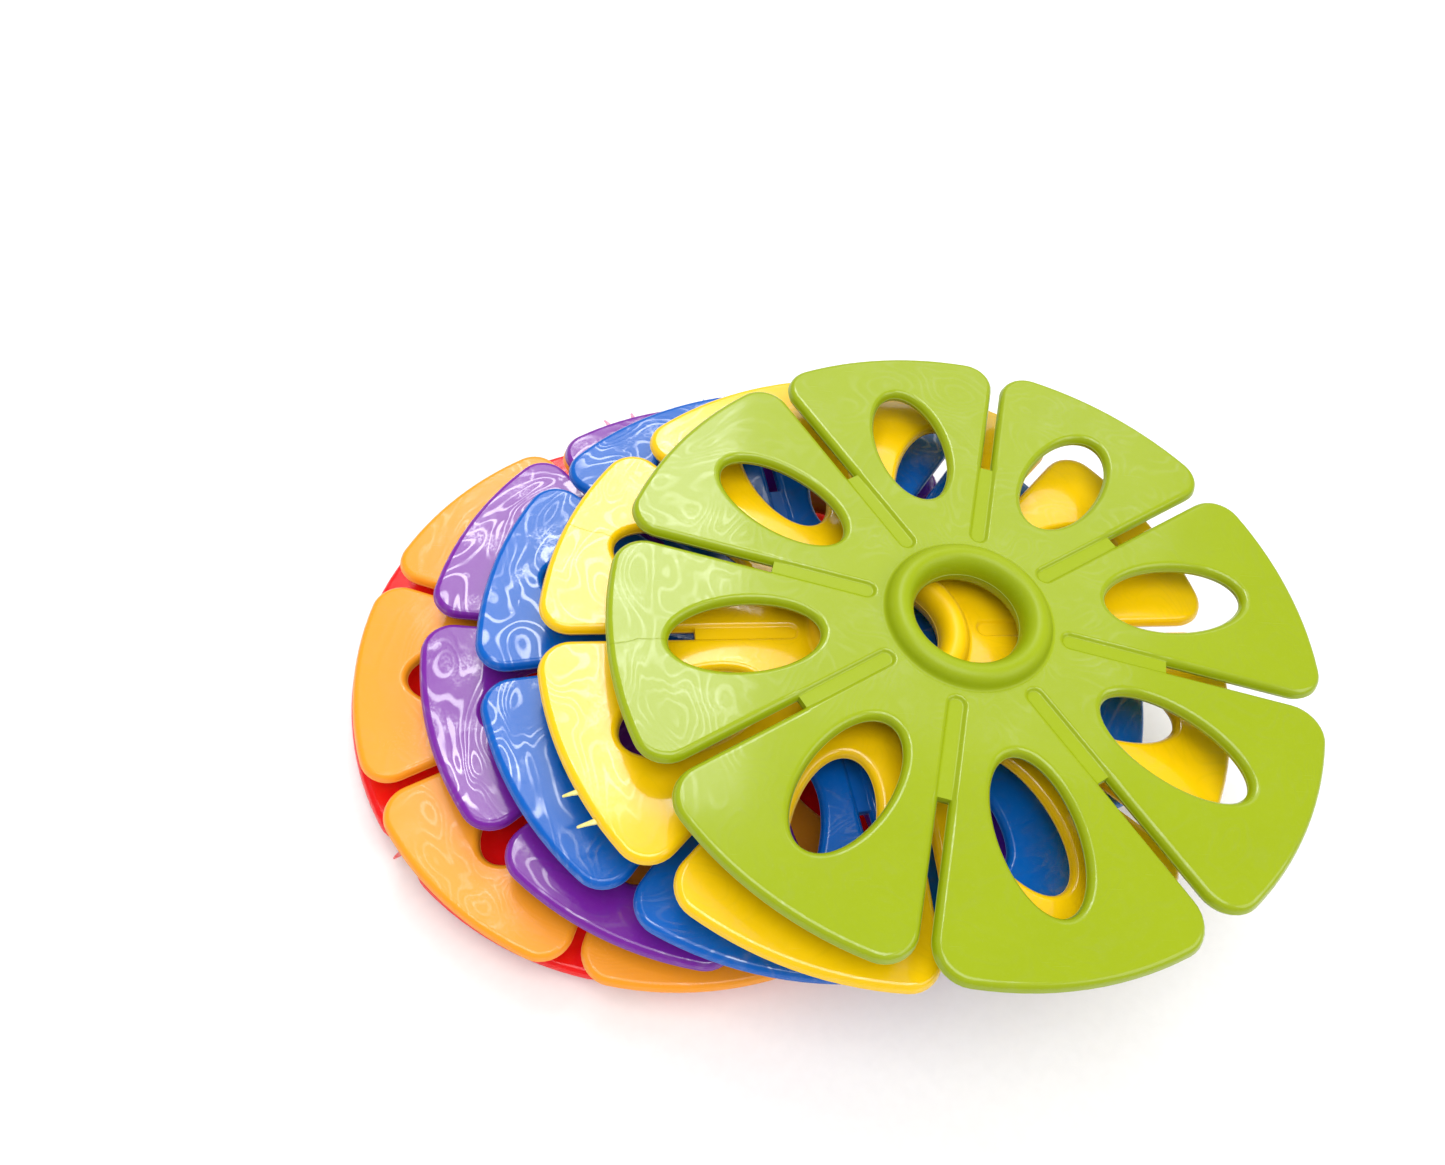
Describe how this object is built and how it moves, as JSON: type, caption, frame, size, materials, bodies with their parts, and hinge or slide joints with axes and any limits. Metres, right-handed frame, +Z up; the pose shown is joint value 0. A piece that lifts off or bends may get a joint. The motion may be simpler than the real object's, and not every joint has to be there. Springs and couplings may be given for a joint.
{
  "type": "interlocking building disc stack",
  "caption": "Fanned loose stack of flat round building discs with radial slots, oval windows and a beaded hub hole; the slots push together at right angles.",
  "frame": {"origin": "centre of the fan's footprint, on the plane the lowest hub bead stands on", "axes": "+Z up through the flat discs, +X from the lowest disc towards the top disc along the fan, +Y across it"},
  "size_m": [0.1403, 0.1077, 0.0405],
  "materials": {
    "red_plastic": "glossy moulded, faint flow marks",
    "orange_plastic": "glossy moulded, faint flow marks",
    "purple_plastic": "glossy moulded, faint flow marks",
    "blue_plastic": "glossy moulded, faint flow marks",
    "yellow_plastic": "glossy moulded, faint flow marks",
    "green_plastic": "glossy moulded, faint flow marks"
  },
  "bodies": {
    "red": {"red_disc": "red_plastic"},
    "orange": {"orange_disc": "orange_plastic"},
    "purple": {"purple_disc": "purple_plastic"},
    "blue": {"blue_disc": "blue_plastic"},
    "yellow": {"yellow_disc": "yellow_plastic"},
    "green": {"green_disc": "green_plastic"}
  },
  "joints": [
    {"name": "orange_lift", "type": "slide", "parent": "red", "child": "orange", "axis": [0, 0, 1], "range_m": [0, 0.03]},
    {"name": "purple_lift", "type": "slide", "parent": "orange", "child": "purple", "axis": [0, 0, 1], "range_m": [0, 0.03]},
    {"name": "blue_lift", "type": "slide", "parent": "purple", "child": "blue", "axis": [0, 0, 1], "range_m": [0, 0.03]},
    {"name": "yellow_lift", "type": "slide", "parent": "blue", "child": "yellow", "axis": [0, 0, 1], "range_m": [0, 0.03]},
    {"name": "green_lift", "type": "slide", "parent": "yellow", "child": "green", "axis": [0, 0, 1], "range_m": [0, 0.03]}
  ]
}
